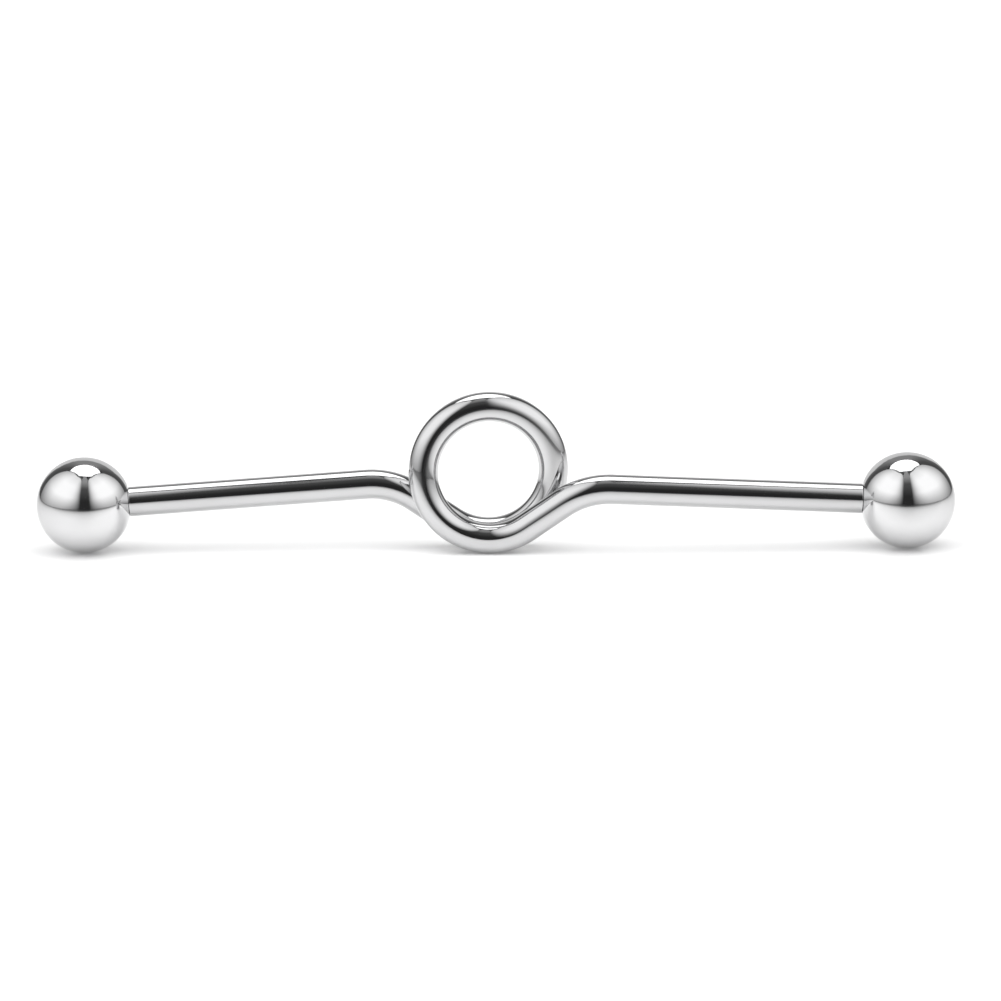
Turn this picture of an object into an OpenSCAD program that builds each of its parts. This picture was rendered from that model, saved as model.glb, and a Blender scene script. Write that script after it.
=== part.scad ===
// Industrial barbell: one bent wire with a full loop at its middle and a screw-on ball at
// each end. It stands on its two balls and on the foot of its loop, on the plane z = 0.
// X runs from ball to ball, the loop's axis runs along Y, and the origin lies on the resting
// plane, midway between the balls' outer sides. The two halves of the wire have the same
// bends: the left half is the right half turned half a turn about a vertical line through
// the loop, so the wire comes in behind the loop and leaves in front of it, and the two arms
// run side by side: the left one a little behind the middle plane, the right one before it.

/* [Wire] */
// Diameter of the wire
wire_d = 1.55; // [1.2:0.05:2]

/* [Loop] */
// Radius of the loop, to the middle of the wire
loop_r = 3.4; // [2.6:0.1:4.4]
// Clear gap between the two turns where they pass at the foot of the loop
turn_gap = 0.2; // [0.02:0.01:0.3]
// Angle at which the wire climbs away from the foot of the loop
leave_angle = 34; // [25:1:45]
// Length from the end of the loop to the corner that the outer bend rounds off
corner_run = 3.7; // [3:0.1:5]
// Radius of the outer bend, to the middle of the wire
bend_r = 4.2; // [3:0.1:6]

/* [Arms] */
// Distance from the loop's axis to the middle of the right ball
reach_right = 21.7; // [16:0.1:26]
// Distance from the loop's axis to the middle of the left ball
reach_left = 21.1; // [16:0.1:26]
// How far the middle of a ball stands to its arm's side of the loop's middle plane
ball_side = 1.5; // [0:0.1:2]

/* [Balls] */
// Diameter of a ball
ball_d = 5; // [3.5:0.5:6]
// Diameter of the flat where the wire meets the ball
flat_d = 1.75; // [1.65:0.05:2.6]
// Clear gap between the end of the arm and the flat
seat_gap = 0.02; // [0.01:0.01:0.1]

/* [Screw end] */
// Outer diameter of the threaded pin at each end of the wire
pin_d = 1.2; // [0.9:0.05:1.3]
// Length of the pin past the end of the arm
pin_len = 2.6; // [1.5:0.1:3]
// Gap all round between the pin and the ball's bore
bore_gap = 0.05; // [0.02:0.01:0.1]
// Depth of the bore past the end of the pin
bore_spare = 0.25; // [0.1:0.05:0.4]
// Width of the bevel on the pin's tip and at the mouth of the bore
bevel = 0.06; // [0.03:0.01:0.1]

/* [Hidden] */
$fn = 64;

wire_r = wire_d / 2;
ball_r = ball_d / 2;
pin_r = pin_d / 2;
bore_r = pin_r + bore_gap;
bore_len = seat_gap + pin_len + bore_spare;
// Distance from the middle of a ball to its flat
seat = sqrt(pow(ball_r, 2) - pow(flat_d / 2, 2));
// The loop lies this far to the left of the middle of the whole length
loop_x = (reach_left - reach_right) / 2;

// The loop is a steep coil: its slope along Y is what one turn needs to clear the next.
pitch = wire_d + turn_gap;
coil_angle = atan(pitch / (2 * PI * loop_r));
coil_bend_r = loop_r / pow(cos(coil_angle), 2);
// Each length of the loop turns by this much, and the next one is rolled about the wire
arc_step = 60;
arc_roll = arc_step * tan(coil_angle);
// Every second length is this much slimmer in radius and runs this far into its
// neighbours, so that each join of two lengths is one clean ring.
join_step = 0.003;
join_overlap = 0.02;

// A place on the wire is its position, its direction and the side that it bends towards.
function unit(v) = v / norm(v);
function bent(place, radius, angle) = [
  place[0] + place[2] * radius * (1 - cos(angle)) + place[1] * radius * sin(angle),
  place[1] * cos(angle) + place[2] * sin(angle),
  place[2] * cos(angle) - place[1] * sin(angle)
];
function along(place, length) = [place[0] + place[1] * length, place[1], place[2]];
function rolled(place, angle) = [
  place[0],
  place[1],
  place[2] * cos(angle) + cross(place[1], place[2]) * sin(angle)
];
function raised(place, height) = [place[0] + [0, 0, height], place[1], place[2]];
function next_arc(place) = rolled(bent(place, coil_bend_r, arc_step), arc_roll);

// The wire runs over the top of the loop, down its left side and forwards to its foot.
// The first place is the middle of the top length, and the foot comes half a turn on.
top_flat = [[0, 0, 0], [-cos(coil_angle), -sin(coil_angle), 0], [0, 0, -1]];
arc_1_flat = rolled(bent(top_flat, coil_bend_r, arc_step / 2), arc_roll);
arc_2_flat = next_arc(arc_1_flat);
arc_3_flat = next_arc(arc_2_flat);
foot_flat = bent(arc_3_flat, coil_bend_r, arc_step / 2);
top_height = wire_r - foot_flat[0][2];

top = raised(top_flat, top_height);
arc_1 = raised(arc_1_flat, top_height);
arc_2 = raised(arc_2_flat, top_height);
arc_3 = raised(arc_3_flat, top_height);
last_angle = arc_step / 2 + leave_angle;
leaving = bent(arc_3, coil_bend_r, last_angle);
corner = along(leaving, corner_run)[0];

// The arm points from the corner to the middle of its ball, which stands on the plane.
function ball_place(reach) = [reach, -ball_side, ball_r];
function arm_direction(reach) = unit(ball_place(reach) - corner);
function outer_angle(reach) = acos(leaving[1] * arm_direction(reach));
function corner_trim(reach) = bend_r * tan(outer_angle(reach) / 2);
function outer_side(reach) =
  unit(arm_direction(reach) - leaving[1] * (leaving[1] * arm_direction(reach)));
function outer_start(reach) = [
  along(leaving, corner_run - corner_trim(reach))[0],
  leaving[1],
  outer_side(reach)
];
function arm_start(reach) = bent(outer_start(reach), bend_r, outer_angle(reach));
function arm_length(reach) =
  norm(ball_place(reach) - arm_start(reach)[0]) - seat - seat_gap;

// Draws its children with X away from the bend's side, Y along the wire
module at_bend(place, radius) {
  across = cross(place[1], place[2]);
  centre = place[0] + place[2] * radius;
  multmatrix([for (i = [0:2]) [-place[2][i], place[1][i], across[i], centre[i]]])
    children();
}

// Draws its children with Z along the wire
module at_straight(place) {
  across = cross(place[1], place[2]);
  multmatrix([for (i = [0:2]) [place[2][i], across[i], place[1][i], place[0][i]]])
    children();
}

module wire_bend(place, radius, angle, slim = false) {
  extra = slim ? join_overlap / radius * 180 / PI : 0;
  at_bend(place, radius)
    rotate([0, 0, -extra])
      rotate_extrude(angle = angle + 2 * extra)
        translate([radius, 0])
          circle(r = wire_r - (slim ? join_step : 0));
}

module wire_straight(place, length) {
  at_straight(place)
    cylinder(r = wire_r, h = length);
}

// The pin starts a little way inside the arm, so that the two join
module bevelled_pin() {
  translate([0, 0, -join_overlap])
    cylinder(r = pin_r, h = join_overlap + pin_len - bevel);
  translate([0, 0, pin_len - bevel])
    cylinder(r1 = pin_r, r2 = pin_r - bevel, h = bevel);
}

// One half of the wire, from the loop's top length to its screw end
module half_wire(reach) {
  wire_bend(arc_1, coil_bend_r, arc_step, slim = true);
  wire_bend(arc_2, coil_bend_r, arc_step);
  wire_bend(arc_3, coil_bend_r, last_angle, slim = true);
  wire_straight(leaving, corner_run - corner_trim(reach));
  wire_bend(outer_start(reach), bend_r, outer_angle(reach), slim = true);
  wire_straight(arm_start(reach), arm_length(reach));
  at_straight(along(arm_start(reach), arm_length(reach)))
    bevelled_pin();
}

// A ball with its flat and its blind bore, mouth towards -Z, about its own middle
module drilled_ball() {
  difference() {
    sphere(r = ball_r);
    translate([0, 0, -seat - ball_d])
      cylinder(r = ball_d, h = ball_d);
    translate([0, 0, -seat - bevel])
      cylinder(r = bore_r, h = bevel + bore_len);
    translate([0, 0, -seat - bevel])
      cylinder(r1 = bore_r + 2 * bevel, r2 = bore_r, h = 2 * bevel);
    translate([0, 0, bore_len - seat])
      cylinder(r1 = bore_r, r2 = 0, h = bore_r / 2);
  }
}

module ball(reach) {
  at_straight(along(arm_start(reach), arm_length(reach) + seat_gap + seat))
    drilled_ball();
}

// Right half's side, and left half's side, half a turn round the loop's vertical line
module on_right() {
  translate([loop_x, 0, 0])
    children();
}

module on_left() {
  translate([loop_x, 0, 0])
    rotate([0, 0, 180])
      children();
}

module bar() color("silver") {
  on_right()
    wire_bend(bent(top, coil_bend_r, -arc_step / 2), coil_bend_r, arc_step);
  on_right()
    half_wire(reach_right);
  on_left()
    half_wire(reach_left);
}

module left_ball() color("gainsboro") {
  on_left()
    ball(reach_left);
}

module right_ball() color("gainsboro") {
  on_right()
    ball(reach_right);
}

bar();
left_ball();
right_ball();
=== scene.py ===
"""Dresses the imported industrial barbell: a polished steel wire with a loop, two screw-on
balls with their threads, a white floor and a small studio of soft light cards.

Named lengths are in millimetres and named angles in degrees."""

import math

import bpy
import numpy as np
from mathutils import Matrix, Vector


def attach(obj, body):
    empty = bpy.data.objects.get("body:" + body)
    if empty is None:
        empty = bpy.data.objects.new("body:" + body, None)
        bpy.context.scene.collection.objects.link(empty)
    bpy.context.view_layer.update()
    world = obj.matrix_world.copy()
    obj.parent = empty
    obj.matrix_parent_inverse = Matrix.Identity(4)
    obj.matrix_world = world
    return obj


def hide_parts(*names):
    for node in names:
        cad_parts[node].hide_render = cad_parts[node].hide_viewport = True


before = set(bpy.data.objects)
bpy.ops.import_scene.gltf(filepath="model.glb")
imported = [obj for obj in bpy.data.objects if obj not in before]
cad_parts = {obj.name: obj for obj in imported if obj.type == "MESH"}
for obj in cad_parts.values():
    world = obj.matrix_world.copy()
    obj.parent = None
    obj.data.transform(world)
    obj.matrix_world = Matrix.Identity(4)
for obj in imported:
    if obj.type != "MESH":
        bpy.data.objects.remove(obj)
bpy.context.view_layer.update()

MM = 0.001
X = np.array([1.0, 0.0, 0.0])
Z = np.array([0.0, 0.0, 1.0])

# Sizes of the part, as in its CAD source

WIRE_R = 0.775
LOOP_R = 3.4  # to the middle of the wire
TURN_GAP = 0.2  # between the two turns where they pass at the foot of the loop
LEAVE_ANGLE = 34  # of the wire's climb away from the foot
CORNER_RUN = 3.7  # from the end of the loop to the corner that the outer bend rounds off
BEND_R = 4.2  # to the middle of the wire
REACH = {"left": 21.1, "right": 21.7}  # from the loop's axis to the middle of each ball
BALL_R = 2.5
BALL_SIDE = 1.5  # from the loop's middle plane to the middle of a ball
FLAT_R = 0.875  # flat of the ball, where the arm meets it
SEAT_GAP = 0.02  # between the arm's end and the flat
PIN_R = 0.6
PIN_LEN = 2.6
BORE_GAP = 0.05  # all round the pin
BORE_SPARE = 0.25  # past the pin's tip
BEVEL = 0.06  # on the pin's tip and at the mouth of the bore

LOOP_X = (REACH["left"] - REACH["right"]) / 2
LOOP_Z = WIRE_R + LOOP_R
PITCH = 2 * WIRE_R + TURN_GAP  # of the coil that the loop is
SEAT = math.sqrt(BALL_R**2 - FLAT_R**2)  # from the middle of a ball to its flat
BORE_R = PIN_R + BORE_GAP
BORE_LEN = SEAT_GAP + PIN_LEN + BORE_SPARE

# Detail that only shows close up

SHOULDER_EDGE = 0.02  # rounded edge where the arm ends
PIN_FOOT = 0.04  # bevel between the shoulder and the pin
RIM_EDGE = 0.05  # rounded rim of the ball's flat
THREAD_PITCH = 0.25
THREAD_DEPTH = 0.13
THREAD_FLANK = 1 / 3  # share of the pitch that each side of the thread takes
THREAD_RELIEF = 0.2  # plain length at the pin's shoulder and at the bottom of the bore
BORE_RISE = 1 / 4  # share of the bore's thread over which it deepens, from the mouth on
BORE_FADE = 1 / 8  # share over which it fades out at the bottom

# How finely the meshes are cut

WIRE_SIDES = 64
BALL_SIDES = 144
BALL_RINGS = 110
EDGE_STEPS = 4  # rings round a small edge
RINGS_PER_TURN = 12  # of the thread
BEND_STEP = 0.12
STRAIGHT_STEP = 0.6
SHARP_ANGLE = 32  # between two faces, above which their edge isn't shaded smooth

# The wire's centre line, made of stations: places on it with the wire's direction


def unit(vector):
    return vector / np.linalg.norm(vector)


def steps(length, spacing):
    """Even steps along a length, no longer than the spacing, from after its start to its end."""
    count = math.ceil(length / spacing)
    return np.arange(1, count + 1) / count * length


def coil(angle):
    """The station on the loop at an angle in radians from its top."""
    advance = PITCH / (2 * math.pi)
    place = [-LOOP_R * math.sin(angle), -advance * angle, LOOP_Z + LOOP_R * math.cos(angle)]
    direction = [-LOOP_R * math.cos(angle), -advance, -LOOP_R * math.sin(angle)]
    return np.array(place), unit(np.array(direction))


def half_line(reach):
    """Stations of the right half, from just after the loop's top to the arm's end."""
    last = math.pi + math.radians(LEAVE_ANGLE)
    line = [coil(angle) for angle in steps(last, BEND_STEP / LOOP_R)]
    start, leaving = line[-1]
    corner = start + leaving * CORNER_RUN
    ball = np.array([reach, -BALL_SIDE, BALL_R])
    arm = unit(ball - corner)
    turn = math.acos(leaving @ arm)
    side = unit(arm - leaving * (leaving @ arm))
    climb = CORNER_RUN - BEND_R * math.tan(turn / 2)
    line += [(start + leaving * run, leaving) for run in steps(climb, STRAIGHT_STEP)]
    bend_start = line[-1][0]
    for angle in steps(turn, BEND_STEP / BEND_R):
        aside, onwards = BEND_R * (1 - math.cos(angle)), BEND_R * math.sin(angle)
        direction = leaving * math.cos(angle) + side * math.sin(angle)
        line.append((bend_start + side * aside + leaving * onwards, direction))
    arm_start = line[-1][0]
    arm_length = np.linalg.norm(ball - arm_start) - SEAT - SEAT_GAP
    line += [(arm_start + arm * run, arm) for run in steps(arm_length, STRAIGHT_STEP)]
    return line


def on_side(side, line):
    """Puts a right half on its side of the loop: the left one turns half a turn about Z."""
    flip = np.array([1, 1, 1]) if side == "right" else np.array([-1, -1, 1])
    return [(place * flip + X * LOOP_X, direction * flip) for place, direction in line]


HALVES = {side: on_side(side, half_line(reach)) for side, reach in REACH.items()}

# Meshes made of rings


def add(name, data):
    """A new object in the scene, for a mesh, a light or a camera."""
    made = bpy.data.objects.new(name, data)
    bpy.context.scene.collection.objects.link(made)
    return made


def around(sides):
    """Angles of the corners of a ring."""
    return np.arange(sides) * 2 * math.pi / sides


def thread(depth, along, angles):
    """Height of the thread round a ring, from 0 at its flat root to depth at its flat crest."""
    phase = (along / THREAD_PITCH - angles / (2 * math.pi)) % 1
    wave = 1 - abs(2 * phase - 1)
    return depth * np.clip(0.5 + (wave - 0.5) / (2 * THREAD_FLANK), 0, 1)


def ring_mesh(name, stations, radii, first, last):
    """One closed skin through rings. radii holds, for each station, the radius at each corner
    of its ring, and first and last are the points that close the ends. The UV map runs once
    round each ring, and along the skin in millimetres."""
    sides = len(radii[0])
    angles = around(sides)
    side = unit(np.cross(stations[0][1], Z))
    points, runs, run = [], [], 0.0
    for i, ((place, direction), radius) in enumerate(zip(stations, radii)):
        side = unit(side - direction * (side @ direction))
        other = np.cross(direction, side)
        ring = np.outer(np.cos(angles), side) + np.outer(np.sin(angles), other)
        points.append(place + ring * radius[:, None])
        if i:
            run += max(
                np.linalg.norm(place - stations[i - 1][0]),
                abs(np.mean(radius) - np.mean(radii[i - 1])),
            )
        runs.append(run)
    vertices = np.concatenate(points + [np.array([first, last])]) * MM
    first_point, last_point = len(vertices) - 2, len(vertices) - 1
    last_ring = (len(points) - 1) * sides
    faces, uvs = [], []
    for i in range(len(points) - 1):
        for j in range(sides):
            k = (j + 1) % sides
            faces.append((i * sides + j, i * sides + k, (i + 1) * sides + k, (i + 1) * sides + j))
            uvs += [(j, runs[i]), (j + 1, runs[i]), (j + 1, runs[i + 1]), (j, runs[i + 1])]
    for j in range(sides):
        k = (j + 1) % sides
        faces.append((first_point, k, j))
        uvs += [(j, 0.0), (j + 1, 0.0), (j, 0.0)]
        faces.append((last_point, last_ring + j, last_ring + k))
        uvs += [(j, run), (j, run), (j + 1, run)]
    mesh = bpy.data.meshes.new(name)
    mesh.from_pydata([tuple(v) for v in vertices], [], faces)
    layer = mesh.uv_layers.new(name="run")
    layer.data.foreach_set("uv", np.array([(u / sides, v) for u, v in uvs]).ravel())
    mesh.shade_smooth()
    mesh.set_sharp_from_angle(angle=math.radians(SHARP_ANGLE))
    return add(name, mesh)


def pin_end(line):
    """The arm's shoulder and its threaded pin: the stations that take the place of the line's
    last one, their radii, and the pin's tip."""
    end, direction = line[-1]
    angles = around(WIRE_SIDES)
    root = PIN_R - THREAD_DEPTH
    # The plain ring just before the edge keeps the arm's shading straight up to it
    profile = [(-2 * SHOULDER_EDGE, WIRE_R)]
    profile += [
        (SHOULDER_EDGE * (math.sin(angle) - 1), WIRE_R - SHOULDER_EDGE * (1 - math.cos(angle)))
        for angle in np.linspace(0, math.pi / 2, EDGE_STEPS + 1)
    ]
    profile += [(0, WIRE_R - 2 * SHOULDER_EDGE), (0, root + PIN_FOOT), (PIN_FOOT, root)]
    rings = [(along, np.full(WIRE_SIDES, radius)) for along, radius in profile]
    for run in steps(PIN_LEN - THREAD_RELIEF, THREAD_PITCH / RINGS_PER_TURN):
        along = THREAD_RELIEF + run
        depth = THREAD_DEPTH * min(1, run / THREAD_PITCH)
        bevelled = PIN_R - max(0, along - (PIN_LEN - BEVEL))
        rings.append((along, np.minimum(root + thread(depth, along, angles), bevelled)))
    stations = [(end + direction * along, direction) for along, _ in rings]
    return stations, [radius for _, radius in rings], end + direction * PIN_LEN


def bar_piece():
    """The whole wire, from the tip of the left pin to the tip of the right one."""
    plain = np.full(WIRE_SIDES, WIRE_R)
    ends = {}
    for side, line in HALVES.items():
        stations, radii, tip = pin_end(line)
        ends[side] = (line[:-1] + stations, [plain] * (len(line) - 1) + radii, tip)
    left, left_radii, left_tip = ends["left"]
    right, right_radii, right_tip = ends["right"]
    top, over = coil(0)
    # The right half runs on from the left one, which is walked backwards
    stations = [(place, -direction) for place, direction in left[::-1]]
    stations += [(top + X * LOOP_X, over)] + right
    radii = left_radii[::-1] + [plain] + right_radii
    return ring_mesh("bar_wire", stations, radii, left_tip, right_tip)


def ball_piece(side):
    """A ball with its flat, rim, bore and thread, turned about the arm's line."""
    end, outward = HALVES[side][-1]
    centre = end + outward * (SEAT_GAP + SEAT)
    angles = around(BALL_SIDES)
    # The rim's rounding touches the sphere at the angle rim and ends at edge_r on the flat
    rim = math.acos((SEAT - RIM_EDGE) / (BALL_R - RIM_EDGE))
    edge_r = (BALL_R - RIM_EDGE) * math.sin(rim)
    profile = [
        (BALL_R * math.cos(angle), BALL_R * math.sin(angle))
        for angle in np.linspace(0, math.pi - rim, BALL_RINGS + 1)[1:]
    ]
    profile += [
        (RIM_EDGE * (1 - math.cos(angle)) - SEAT, edge_r + RIM_EDGE * math.sin(angle))
        for angle in np.linspace(rim, 0, EDGE_STEPS + 1)[1:]
    ]
    profile += [(-SEAT, edge_r - RIM_EDGE), (-SEAT, BORE_R + BEVEL), (BEVEL - SEAT, BORE_R)]
    rings = [(along, np.full(BALL_SIDES, radius)) for along, radius in profile]
    threaded = BORE_LEN - BEVEL - THREAD_RELIEF
    for run in steps(threaded, THREAD_PITCH / RINGS_PER_TURN):
        done = run / threaded
        along = BEVEL + run
        depth = THREAD_DEPTH * min(1, done / BORE_RISE, (1 - done) / BORE_FADE)
        rings.append((along - SEAT, BORE_R + thread(depth, along, angles)))
    rings.append((BORE_LEN - SEAT, np.full(BALL_SIDES, BORE_R)))
    stations = [(centre + outward * along, -outward) for along, _ in rings]
    radii = [radius for _, radius in rings]
    pole = centre + outward * BALL_R
    drill_point = centre + outward * (BORE_LEN - SEAT + BORE_R / 2)
    return ring_mesh(side + "_ball_steel", stations, radii, pole, drill_point)


# Shader nodes


def feed(tree, socket, value):
    """Sets a socket to a value, or links it to another node's output."""
    if isinstance(value, bpy.types.NodeSocket):
        tree.links.new(value, socket)
    else:
        socket.default_value = value


def node(tree, kind, **values):
    """A shader node, with its sockets and its settings given by name."""
    made = tree.nodes.new(kind)
    for name, value in values.items():
        socket = name.replace("_", " ").title()
        if socket in made.inputs:
            feed(tree, made.inputs[socket], value)
        else:
            setattr(made, name, value)
    return made


def maths(tree, operation, *values):
    """The result of a maths node."""
    made = tree.nodes.new("ShaderNodeMath")
    made.operation = operation
    for socket, value in zip(made.inputs, values):
        feed(tree, socket, value)
    return made.outputs["Value"]


def map_range(tree, value, before, after):
    """A value carried over from one range to another, and held at its ends."""
    made = node(
        tree,
        "ShaderNodeMapRange",
        value=value,
        from_min=before[0],
        from_max=before[1],
        to_min=after[0],
        to_max=after[1],
    )
    return made.outputs["Result"]


def new_material(name):
    material = bpy.data.materials.new(name)
    material.use_nodes = True
    return material, material.node_tree


# Steel

# The wire is the same steel as the balls; its darker grey is painted shade, matching the darker,
# shadowed floor that it reflects
BAR_SHADED_GREY = (0.585, 0.585, 0.59)
BALL_GREY = (0.7, 0.7, 0.705)
CLOUD_SCALE = 420.0  # clouds to the metre
CLOUD_SPAN = 0.3, 0.7  # of the noise, from a dark cloud to clear metal
CLOUD_TONE = 0.965  # tone of a dark cloud, as a share of the metal's
CLOUD_ROUGHNESS = 0.05  # roughness that the clouds add
LINE_SPAN = 0.3, 0.75  # of the noise, from the smoothest line to the roughest
LINE_ROUGHNESS = 0.02, 0.075
LINE_HEIGHT = 0.00015


def polished_steel(name, grey, per_round, per_mm):
    """Mirror-polished steel with faint clouding of its tone and roughness. Its fine buffing
    lines run round the piece: per_round of them follow one another in one round, and per_mm
    of them lie side by side in a millimetre."""
    material, tree = new_material(name)
    shader = tree.nodes["Principled BSDF"]
    feed(tree, shader.inputs["Metallic"], 1.0)

    place = node(tree, "ShaderNodeTexCoord").outputs
    clouds = node(
        tree,
        "ShaderNodeTexNoise",
        vector=place["Object"],
        scale=CLOUD_SCALE,
        detail=4.0,
        roughness=0.6,
    ).outputs["Fac"]
    tone = node(tree, "ShaderNodeValToRGB", fac=clouds)
    dark, clear = tone.color_ramp.elements
    dark.position, clear.position = CLOUD_SPAN
    dark.color = (*[CLOUD_TONE * channel for channel in grey], 1)
    clear.color = (*grey, 1)
    feed(tree, shader.inputs["Base Color"], tone.outputs["Color"])

    stretch = node(
        tree,
        "ShaderNodeMapping",
        vector=place["UV"],
        scale=(per_round, per_mm, 1),
    )
    lines = node(
        tree,
        "ShaderNodeTexNoise",
        vector=stretch.outputs["Vector"],
        scale=1.0,
        detail=3.0,
        roughness=0.55,
    ).outputs["Fac"]
    buffed = map_range(tree, lines, LINE_SPAN, LINE_ROUGHNESS)
    cloudy = maths(tree, "MULTIPLY_ADD", clouds, CLOUD_ROUGHNESS, buffed)
    feed(tree, shader.inputs["Roughness"], cloudy)
    ripple = node(tree, "ShaderNodeBump", strength=1.0, distance=LINE_HEIGHT * MM, height=lines)
    feed(tree, shader.inputs["Normal"], ripple.outputs["Normal"])
    return material


# Floor

FLOOR_R = 330.0
FLOOR_SIDES = 96
FLOOR_WHITE = 0.82
FLOOR_ROUGHNESS = 0.35
FLOOR_GLOW = 0.12  # its own light, as of a light table
FLOOR_PAINTED_SHADE = 0.03  # painted shade: its tone in the part's reflections, well before the part
FLOOR_PAINTED_LIGHT = 1.06  # painted light: its tone in them under and behind the part
FLOOR_FRONT = 40.0, 5.0  # before the part, between which the painted tone goes from dark to light
FLOOR_SHADE_SIDE = 73.0  # to the side, where the painted tone has halved


def floor_material():
    """White to the camera. In the part's reflections it has painted shade and light: darker
    towards the front and sides, brighter under and behind the part.
    """
    material, tree = new_material("floor_white")
    shader = tree.nodes["Principled BSDF"]
    place = node(tree, "ShaderNodeTexCoord").outputs["Object"]
    parts = node(tree, "ShaderNodeSeparateXYZ", vector=place).outputs
    # Painted shade and light, seen only in the part's reflections: darker towards the front and
    # sides, brighter under and behind the part
    front = [-distance * MM for distance in FLOOR_FRONT]
    along = map_range(tree, parts["Y"], front, (FLOOR_PAINTED_SHADE, FLOOR_PAINTED_LIGHT))
    square = maths(tree, "MULTIPLY", parts["X"], parts["X"])
    aside = maths(tree, "MULTIPLY_ADD", square, (FLOOR_SHADE_SIDE * MM) ** -2, 1.0)
    painted_falloff = maths(tree, "DIVIDE", along, aside)
    ray = node(tree, "ShaderNodeLightPath").outputs
    tone = maths(tree, "MAXIMUM", painted_falloff, ray["Is Camera Ray"])
    feed(tree, shader.inputs["Base Color"], maths(tree, "MULTIPLY", tone, FLOOR_WHITE))
    feed(tree, shader.inputs["Roughness"], FLOOR_ROUGHNESS)
    # In reflections the glow takes the same painted tone; to the camera it is even
    feed(tree, shader.inputs["Emission Strength"], FLOOR_GLOW)
    feed(tree, shader.inputs["Emission Color"], tone)
    return material


def add_floor():
    mesh = bpy.data.meshes.new("floor")
    radius = FLOOR_R * MM
    corners = [(radius * math.cos(a), radius * math.sin(a), 0) for a in around(FLOOR_SIDES)]
    mesh.from_pydata(corners, [], [tuple(range(FLOOR_SIDES))])
    mesh.materials.append(floor_material())
    add("floor", mesh)


# Light cards round the part

STUDIO_R = 340.0
STUDIO_TURN = 0.3  # that the studio's middle lies to the left of the part's front


def towards(azimuth, elevation):
    """A direction. An azimuth counts from the studio's middle, before the part, towards +X."""
    turn, rise = math.radians(azimuth - STUDIO_TURN), math.radians(elevation)
    return np.array(
        [math.sin(turn) * math.cos(rise), -math.cos(turn) * math.cos(rise), math.sin(rise)]
    )


def share(value, low, high):
    """How far a value has come from low to high, from 0 to 1."""
    return min(1.0, max(0.0, (value - low) / (high - low)))


def between(low, high, part):
    return low + (high - low) * part


def card(name, grid, place, glow):
    """A light card, which the camera doesn't see and which throws no shadow: a grid of so many
    columns and rows of points, with a glow at each. place(u, v) and glow(u, v) take shares of
    the card's width and height."""
    columns, rows = grid
    us, vs = np.linspace(0, 1, columns), np.linspace(0, 1, rows)
    points = [tuple(place(u, v) * MM) for v in vs for u in us]
    faces = [
        (r * columns + c, r * columns + c + 1, (r + 1) * columns + c + 1, (r + 1) * columns + c)
        for r in range(rows - 1)
        for c in range(columns - 1)
    ]
    mesh = bpy.data.meshes.new(name)
    mesh.from_pydata(points, [], faces)
    layer = mesh.attributes.new("glow", "FLOAT", "POINT")
    layer.data.foreach_set("value", [glow(u, v) for v in vs for u in us])
    material, tree = new_material(name)
    tree.nodes.remove(tree.nodes["Principled BSDF"])
    reader = node(tree, "ShaderNodeAttribute", attribute_name="glow")
    lamp = node(tree, "ShaderNodeEmission", strength=reader.outputs["Fac"])
    feed(tree, tree.nodes["Material Output"].inputs["Surface"], lamp.outputs["Emission"])
    mesh.materials.append(material)
    made = add(name, mesh)
    made.visible_camera = False
    made.visible_shadow = False
    return made


def dome_card(name, grid, spot, glow, radius=STUDIO_R):
    """A card bent round the part: spot(u, v) gives the azimuth and elevation of a point, and
    glow(azimuth, elevation) its glow."""
    card(
        name,
        grid,
        lambda u, v: radius * towards(*spot(u, v)),
        lambda u, v: glow(*spot(u, v)),
    )


# A tall softbox on each side, from beside the camera to behind the part

SOFTBOX_GRID = 40, 24
SOFTBOX_FRONT = 11.0  # azimuth of its front edge, half the dark gap between the two
SOFTBOX_BACK = 131.0  # azimuth of its back edge
SOFTBOX_LOW = 0.3  # elevation of its lower edge
SOFTBOX_CORNER = 37.0  # elevation at which its front edge starts to round off
SOFTBOX_ARCH = 40.0  # how far its upper edge rises from there
SOFTBOX_FALL = 8.0  # how far its upper edge falls from front to back
SOFTBOX_GLOW = 1.42
ARCH_FLATNESS = 4  # power that flattens the middle of its upper edge
ARCH_CORNER = 0.3  # power that squares its corners
FRONT_FADE = SOFTBOX_FRONT, 60.0  # azimuths between which it goes from dark to bright
FRONT_POWER = 1.6  # how steeply it does so at its lower edge
FRONT_POWER_RISE = 0.06  # what each degree of elevation adds to that
FRONT_POWER_TOP = 45.0  # elevation above which nothing more is added
BACK_FADE = 80.0, 130.0  # azimuths between which it dims
BACK_POWER = 1.6
BACK_LOSS = 0.6
LOW_FADE = 0.0, 26.0  # elevations between which it brightens
LOW_LOSS = 0.6
HIGH_FADE = 52.0, 78.0  # elevations between which it dims again
HIGH_LOSS = 0.3
FRAME_GRID = 60, 2
FRAME_WIDTH = 3.5  # of the dark frame over its upper edge
FRAME_GLOW = 0.12


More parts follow.
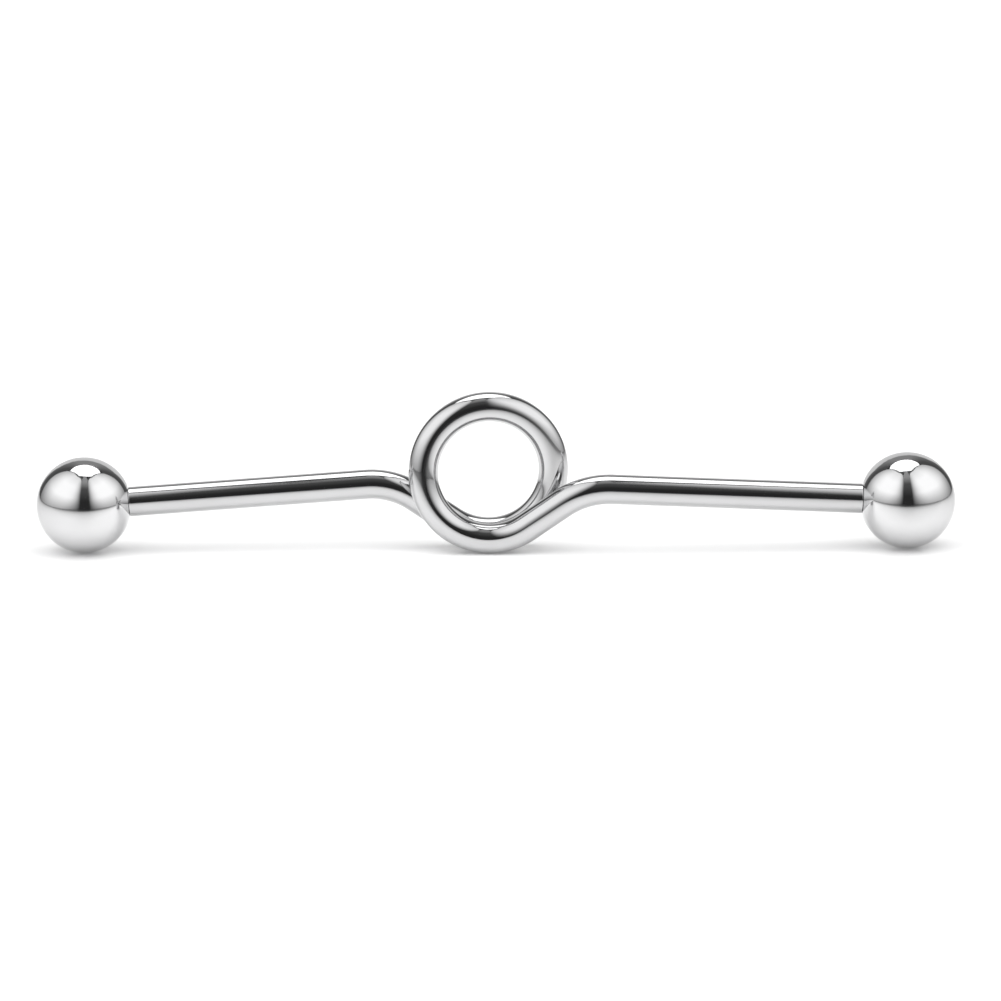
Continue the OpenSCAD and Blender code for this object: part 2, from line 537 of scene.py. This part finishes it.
def softbox(name, side):
    """A softbox with its frame, on the side -1 (left) or 1 (right)."""

    def top(u):
        arch = (1 - (2 * u - 1) ** ARCH_FLATNESS) ** ARCH_CORNER
        return SOFTBOX_CORNER + SOFTBOX_ARCH * arch - SOFTBOX_FALL * u * u

    def spot(u, v):
        azimuth = side * between(SOFTBOX_FRONT, SOFTBOX_BACK, u)
        return azimuth, between(SOFTBOX_LOW, top(u), v)

    def frame_spot(u, v):
        return spot(u, 1)[0], top(u) + FRAME_WIDTH * v

    def glow(azimuth, elevation):
        power = FRONT_POWER + FRONT_POWER_RISE * min(elevation, FRONT_POWER_TOP)
        front = 1 - (1 - share(abs(azimuth), *FRONT_FADE)) ** power
        back = 1 - BACK_LOSS * share(abs(azimuth), *BACK_FADE) ** BACK_POWER
        low = 1 - LOW_LOSS * (1 - share(elevation, *LOW_FADE))
        high = 1 - HIGH_LOSS * share(elevation, *HIGH_FADE)
        return SOFTBOX_GLOW * front * back * low * high

    dome_card(name, SOFTBOX_GRID, spot, glow)
    dome_card(name + "_frame", FRAME_GRID, frame_spot, lambda azimuth, elevation: FRAME_GLOW)


# A flat round panel overhead, centred a little behind the part

TOP_GRID = 20, 20
TOP_WIDE = 165.0
TOP_DEEP = 134.0
TOP_BACK = 101.0
TOP_HEIGHT = 350.0
TOP_GLOW = 2.4


def top_place(u, v):
    x, y = 2 * u - 1, 2 * v - 1
    across, along = x * math.sqrt(1 - y * y / 2), y * math.sqrt(1 - x * x / 2)
    return np.array([TOP_WIDE * across, TOP_BACK + TOP_DEEP * along, TOP_HEIGHT])


# A dim ceiling, which shows in the gap between the softboxes

CEILING_GRID = 12, 32
CEILING_R = 360.0
CEILING_SIDE = 20.0  # azimuth of its edges
CEILING_SPAN = 20.0, 83.0  # elevations of its lower and upper edge
CEILING_GLOW = 0.03
CEILING_STEPS = (20.0, 46.0, 0.06), (50.0, 68.0, 0.28)  # two elevations, and the glow gained


def ceiling_spot(u, v):
    return between(-CEILING_SIDE, CEILING_SIDE, u), between(*CEILING_SPAN, v)


def ceiling_glow(azimuth, elevation):
    return CEILING_GLOW + sum(more * share(elevation, *span) for *span, more in CEILING_STEPS)


# A pale backdrop with a rounded top, before a dark wall

WALL_GRID = 50, 30
WALL_TOP = 55.0
WALL_GLOW = 0.09
BEHIND = 180.0  # azimuth of the backdrop's middle
BACKDROP_SIDE = 28.0  # from its middle to its edge
BACKDROP_CORNER = 20.0  # elevation at which its top starts to round off
BACKDROP_ARCH = 13.0  # how far its top rises from there
BACKDROP_GLOW = 0.74
HALO = 14.0, 39.2  # from its middle, between which its light on the wall fades
HALO_GLOW = 0.2


def wall_spot(u, v):
    return between(SOFTBOX_BACK, 360 - SOFTBOX_BACK, u), WALL_TOP * v


def wall_glow(azimuth, elevation):
    aside = abs(azimuth - BEHIND)
    if aside < BACKDROP_SIDE:
        arch = math.sqrt(1 - (aside / BACKDROP_SIDE) ** 2)
        if elevation < BACKDROP_CORNER + BACKDROP_ARCH * arch:
            return BACKDROP_GLOW
    return WALL_GLOW + HALO_GLOW * (1 - share(aside, *HALO))


# The main light on the floor, which doesn't show in reflections

FILL_ENERGY = 2.75
FILL_ANGLE = 75  # of the sky that it comes from
FILL_TILT = 11  # from straight above towards the front


def add_fill():
    fill = add("fill", bpy.data.lights.new("fill", "SUN"))
    fill.data.energy = FILL_ENERGY
    fill.data.angle = math.radians(FILL_ANGLE)
    fill.rotation_euler = (math.radians(FILL_TILT), 0, 0)
    fill.visible_glossy = False


# The room beyond the floor and the cards

ROOM_TONE = 0.03


def set_world():
    """White to the camera, and dark to all else."""
    world = bpy.data.worlds.new("studio")
    bpy.context.scene.world = world
    world.use_nodes = True
    tree = world.node_tree
    room = tree.nodes["Background"]
    feed(tree, room.inputs["Color"], (ROOM_TONE, ROOM_TONE, ROOM_TONE, 1))
    white = node(tree, "ShaderNodeBackground", color=(1, 1, 1, 1), strength=1.0)
    ray = node(tree, "ShaderNodeLightPath").outputs
    mix = node(tree, "ShaderNodeMixShader", fac=ray["Is Camera Ray"])
    feed(tree, mix.inputs[1], room.outputs["Background"])
    feed(tree, mix.inputs[2], white.outputs["Background"])
    feed(tree, tree.nodes["World Output"].inputs["Surface"], mix.outputs["Shader"])


# Camera

CAMERA_TURN = 1.8  # that it stands to the left of the part's front
CAMERA_HEIGHT = 11.0  # above the floor's plane
CAMERA_ROLL = -0.768
CAMERA_DISTANCE = 300.0
CAMERA_LENS = 207.12
CAMERA_SENSOR = 36.0
CAMERA_CLIP = 10.0  # nothing nearer than this shows
AIM = np.array([0.308, 0.001, 2.603])


def add_camera():
    turn, height, roll = (math.radians(a) for a in (CAMERA_TURN, CAMERA_HEIGHT, CAMERA_ROLL))
    forward = np.array(
        [math.sin(turn) * math.cos(height), math.cos(turn) * math.cos(height), -math.sin(height)]
    )
    level = unit(np.cross(forward, Z))
    rise = np.cross(level, forward)
    right = level * math.cos(roll) + rise * math.sin(roll)
    up = np.cross(right, forward)
    stand = Vector((AIM - forward * CAMERA_DISTANCE) * MM)
    axes = Matrix(np.column_stack([right, up, -forward])).to_4x4()
    camera = add("camera", bpy.data.cameras.new("camera"))
    camera.data.sensor_width = CAMERA_SENSOR
    camera.data.lens = CAMERA_LENS
    camera.data.clip_start = CAMERA_CLIP * MM
    camera.matrix_world = Matrix.Translation(stand) @ axes
    bpy.context.scene.camera = camera


# The studio

softbox("softbox_left", -1)
softbox("softbox_right", 1)
top_light = card("top_light", TOP_GRID, top_place, lambda u, v: TOP_GLOW)
top_light.visible_diffuse = False  # it shows in the part and leaves the floor alone
dome_card("front_ceiling", CEILING_GRID, ceiling_spot, ceiling_glow, radius=CEILING_R)
dome_card("back_wall", WALL_GRID, wall_spot, wall_glow)
add_fill()
add_floor()
set_world()
add_camera()
bpy.context.scene.view_settings.view_transform = "Standard"

# The pieces and what they ride on

bar_steel = polished_steel("bar_steel", BAR_SHADED_GREY, per_round=26, per_mm=160)
ball_steel = polished_steel("ball_steel", BALL_GREY, per_round=16, per_mm=700)

bar = bar_piece()
bar.data.materials.append(bar_steel)
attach(bar, "bar")
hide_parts("bar")

for side in REACH:
    ball = ball_piece(side)
    ball.data.materials.append(ball_steel)
    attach(ball, side + "_ball")
    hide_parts(side + "_ball")

bpy.context.view_layer.update()
